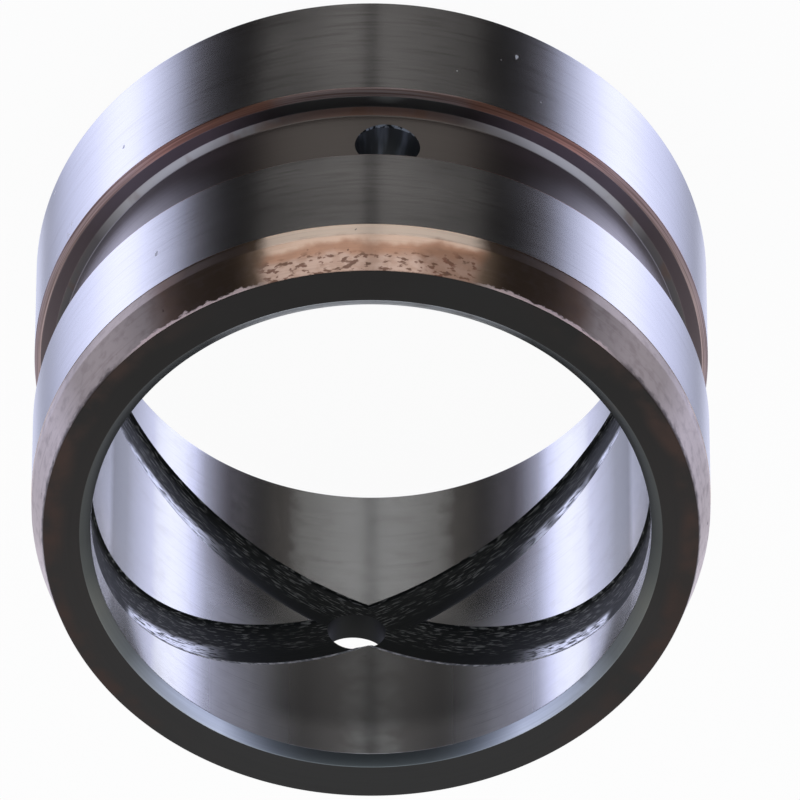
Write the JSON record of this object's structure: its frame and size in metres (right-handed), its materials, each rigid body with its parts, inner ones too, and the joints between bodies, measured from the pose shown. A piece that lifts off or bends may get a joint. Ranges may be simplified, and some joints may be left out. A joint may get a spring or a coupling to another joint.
{
  "type": "bushing",
  "caption": "Round hardened steel bushing with a plain bore crossed by oil grooves, a grease groove around its outside, radial oil holes and a tapered lead-in end.",
  "frame": {"origin": "centre of the plain end that it stands on, on the bore's axis", "axes": "+Z along the bore, from the plain end to the tapered lead-in end; the line of the oil holes lies along Y, with the front one at -Y"},
  "size_m": [0.085, 0.085, 0.056],
  "materials": {
    "hardened_steel": "ground on the outside and in the bore, dark heat treatment scale on the end and in the grooves"
  },
  "bodies": {
    "root": {"bushing": "hardened_steel"}
  },
  "joints": []
}
